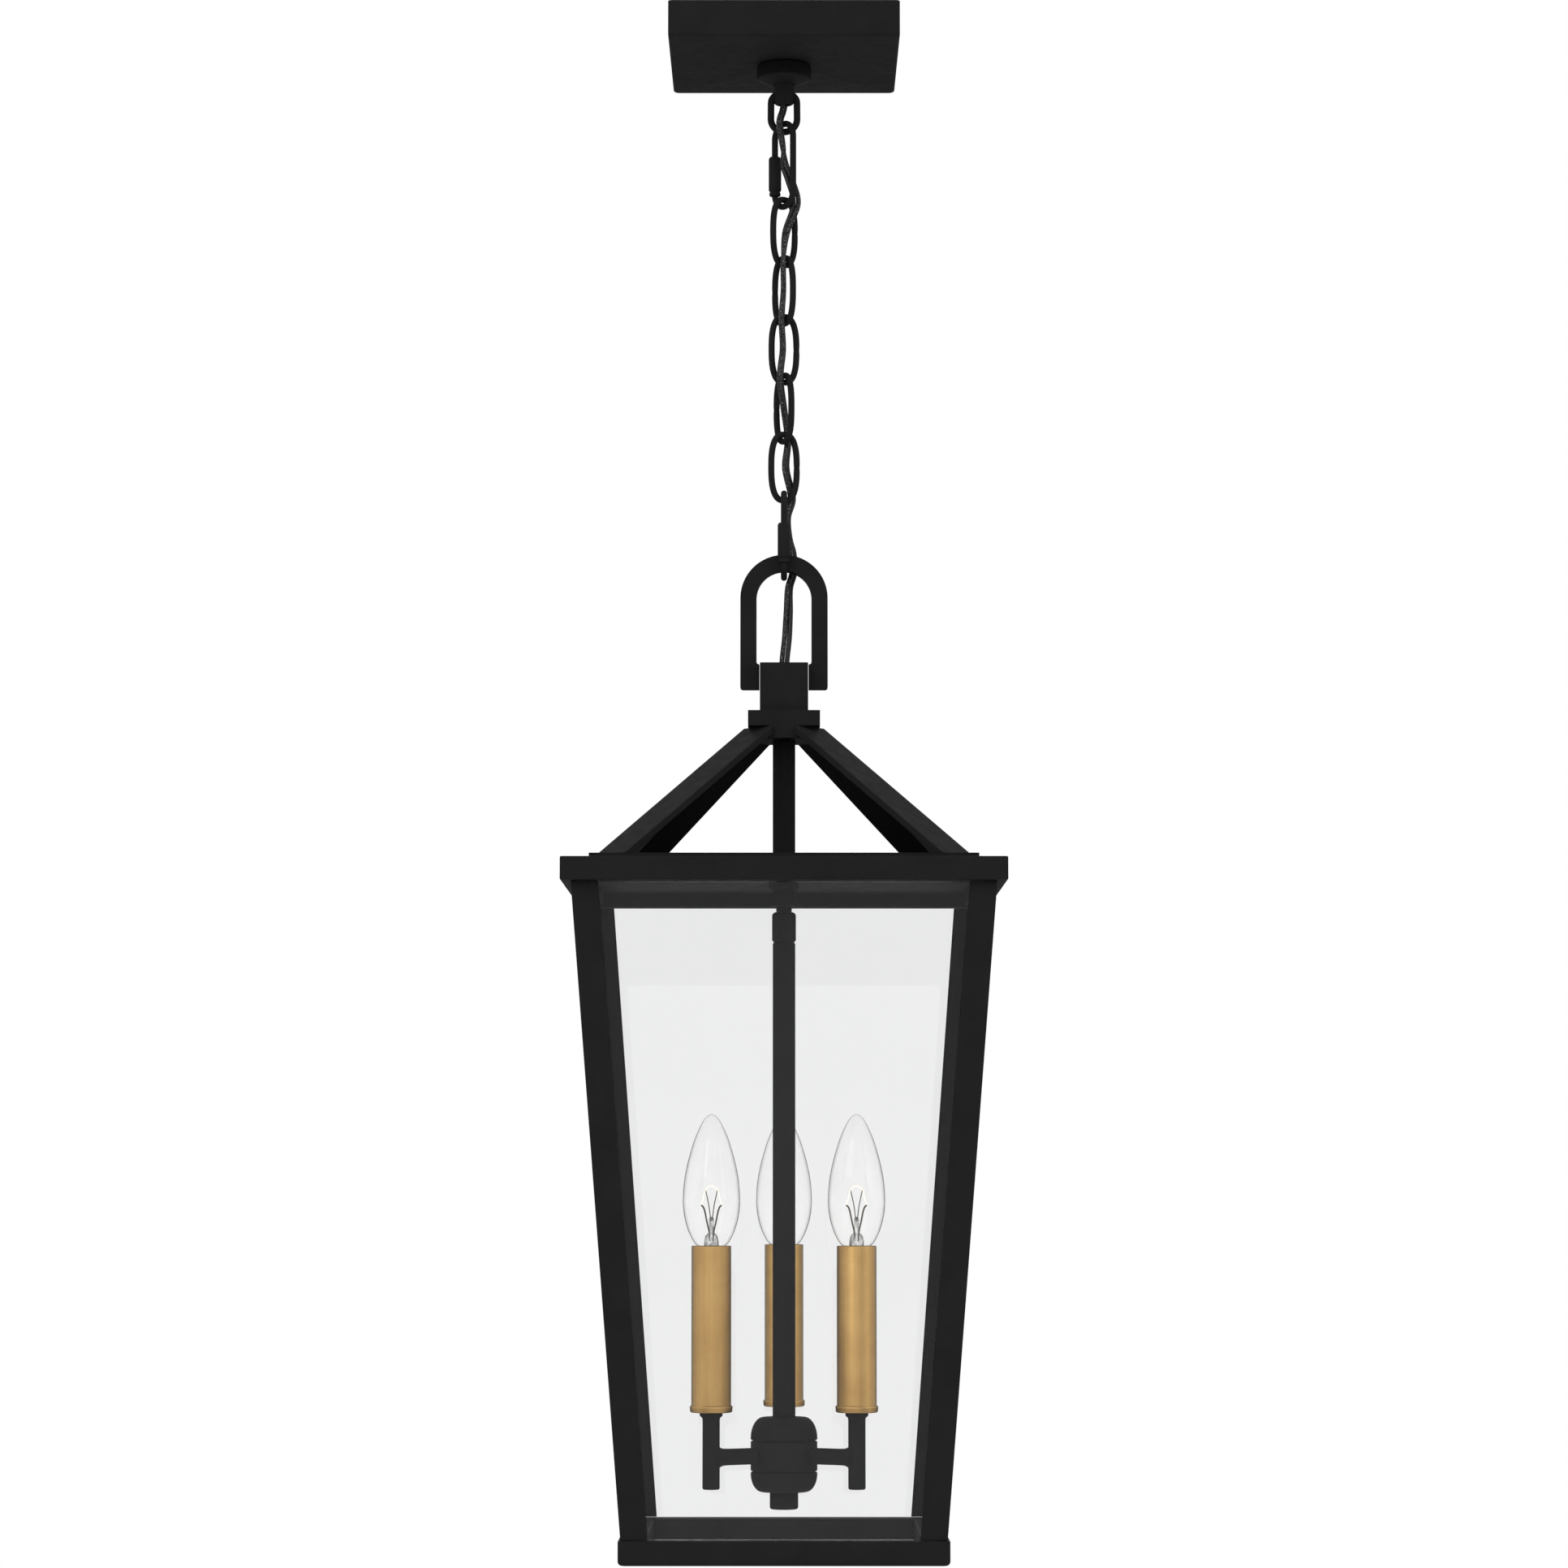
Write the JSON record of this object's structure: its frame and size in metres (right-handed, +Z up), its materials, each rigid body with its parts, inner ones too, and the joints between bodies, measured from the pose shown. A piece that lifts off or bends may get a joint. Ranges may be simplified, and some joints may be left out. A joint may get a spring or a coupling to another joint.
{
  "type": "hanging lantern",
  "caption": "Square tapered glass lantern on a chain: ceiling canopy, yoke, barred roof, leaning panes and a cluster of brass candle sleeves with flame bulbs.",
  "frame": {"origin": "centre of the canopy's open face, on the ceiling plane", "axes": "+Z up to the ceiling, +X to the right and -Y to the front, both square to the canopy's sides"},
  "size_m": [0.254, 0.254, 0.9114],
  "materials": {
    "black_powder_coat": "matte",
    "antique_brass": "satin",
    "clear_glass": "clear",
    "zinc_steel": "satin",
    "green_steel": "satin",
    "socket_phenolic": "matte",
    "wire_insulation": "satin"
  },
  "bodies": {
    "ceiling_mount": {"mounting_strap": "zinc_steel", "nipple": "zinc_steel", "strap_nut": "zinc_steel", "ground_screw": "green_steel", "canopy_loop": "black_powder_coat", "wire_live": "wire_insulation", "wire_return": "wire_insulation"},
    "canopy": {"canopy": "black_powder_coat"},
    "collar": {"screw_collar": "black_powder_coat"},
    "quick_top": {"quick_link_top": "black_powder_coat"},
    "quick_top_nut": {"quick_nut_top": "black_powder_coat"},
    "link_1": {"chain_link_1": "black_powder_coat"},
    "link_2": {"chain_link_2": "black_powder_coat"},
    "link_3": {"chain_link_3": "black_powder_coat"},
    "link_4": {"chain_link_4": "black_powder_coat"},
    "link_5": {"chain_link_5": "black_powder_coat"},
    "quick_bottom": {"quick_link_bottom": "black_powder_coat"},
    "quick_bottom_nut": {"quick_nut_bottom": "black_powder_coat"},
    "lantern": {"yoke": "black_powder_coat", "yoke_block": "black_powder_coat", "roof_hub": "black_powder_coat", "upper_rod": "black_powder_coat", "roof_plate": "black_powder_coat", "top_ring": "black_powder_coat", "bottom_ring": "black_powder_coat", "roof_bar_rear_right": "black_powder_coat", "roof_bar_rear_left": "black_powder_coat", "roof_bar_front_left": "black_powder_coat", "roof_bar_front_right": "black_powder_coat", "corner_post_rear_right": "black_powder_coat", "corner_post_rear_left": "black_powder_coat", "corner_post_front_left": "black_powder_coat", "corner_post_front_right": "black_powder_coat", "glass_rear": "clear_glass", "glass_left": "clear_glass", "glass_front": "clear_glass", "glass_right": "clear_glass", "rail_screw_left": "black_powder_coat", "rail_screw_right": "black_powder_coat", "plate_nut": "black_powder_coat", "coupling": "black_powder_coat", "stem_sleeve": "black_powder_coat", "stem": "black_powder_coat", "cluster_cap_top": "black_powder_coat", "cluster_body": "black_powder_coat", "cluster_cap_bottom": "black_powder_coat", "finial": "black_powder_coat", "candle_arm_rear": "black_powder_coat", "candle_sleeve_rear": "antique_brass", "socket_rear": "socket_phenolic", "candle_arm_left": "black_powder_coat", "candle_sleeve_left": "antique_brass", "socket_left": "socket_phenolic", "candle_arm_right": "black_powder_coat", "candle_sleeve_right": "antique_brass", "socket_right": "socket_phenolic"},
    "bulb_rear": {"bulb_rear": "clear_glass"},
    "bulb_left": {"bulb_left": "clear_glass"},
    "bulb_right": {"bulb_right": "clear_glass"}
  },
  "joints": [
    {"name": "swing_quick_top", "type": "hinge", "parent": "ceiling_mount", "child": "quick_top", "pos_m": [0, 0, -0.0626], "axis": [1, 0, 0], "range_deg": [-15, 15], "deforming": ["wire_live", "wire_return"]},
    {"name": "swing_link_1", "type": "hinge", "parent": "quick_top", "child": "link_1", "pos_m": [0, 0, -0.1085], "axis": [-0.6428, 0.766, 0], "range_deg": [-30, 30]},
    {"name": "swing_link_2", "type": "hinge", "parent": "link_1", "child": "link_2", "pos_m": [0, 0, -0.14435], "axis": [-0.8387, -0.5446, 0], "range_deg": [-30, 30]},
    {"name": "swing_link_3", "type": "hinge", "parent": "link_2", "child": "link_3", "pos_m": [0, 0, -0.1802], "axis": [0.6947, -0.7193, 0], "range_deg": [-15, 15]},
    {"name": "swing_link_4", "type": "hinge", "parent": "link_3", "child": "link_4", "pos_m": [0, 0, -0.21605], "axis": [-0.9613, -0.2756, 0], "range_deg": [-30, 30]},
    {"name": "swing_link_5", "type": "hinge", "parent": "link_4", "child": "link_5", "pos_m": [0, 0, -0.2519], "axis": [-0.5736, 0.8192, 0], "range_deg": [-30, 30]},
    {"name": "swing_quick_bottom", "type": "hinge", "parent": "link_5", "child": "quick_bottom", "pos_m": [0, 0, -0.28775], "axis": [0.9848, 0.1736, 0], "range_deg": [-30, 30]},
    {"name": "swing_lantern", "type": "hinge", "parent": "quick_bottom", "child": "lantern", "pos_m": [0, 0, -0.33445], "axis": [0, -1, 0], "range_deg": [-30, 30]},
    {"name": "canopy_drop", "type": "slide", "parent": "ceiling_mount", "child": "canopy", "axis": [0, 0, -1], "range_m": [0, 0.004]},
    {"name": "collar_unscrew", "type": "slide", "parent": "ceiling_mount", "child": "collar", "axis": [0, 0, -1], "range_m": [0, 0.004]},
    {"name": "open_quick_top", "type": "slide", "parent": "quick_top", "child": "quick_top_nut", "axis": [0, 0, 1], "range_m": [0, 0.01]},
    {"name": "open_quick_bottom", "type": "slide", "parent": "quick_bottom", "child": "quick_bottom_nut", "axis": [0, 0, 1], "range_m": [0, 0.01]},
    {"name": "unscrew_bulb_rear", "type": "slide", "parent": "lantern", "child": "bulb_rear", "axis": [0, 0, 1], "range_m": [0, 0.012]},
    {"name": "unscrew_bulb_left", "type": "slide", "parent": "lantern", "child": "bulb_left", "axis": [0, 0, 1], "range_m": [0, 0.012]},
    {"name": "unscrew_bulb_right", "type": "slide", "parent": "lantern", "child": "bulb_right", "axis": [0, 0, 1], "range_m": [0, 0.012]}
  ],
  "couplings": [
    {"joint": "collar_unscrew", "follows": "canopy_drop", "ratio": 1}
  ]
}
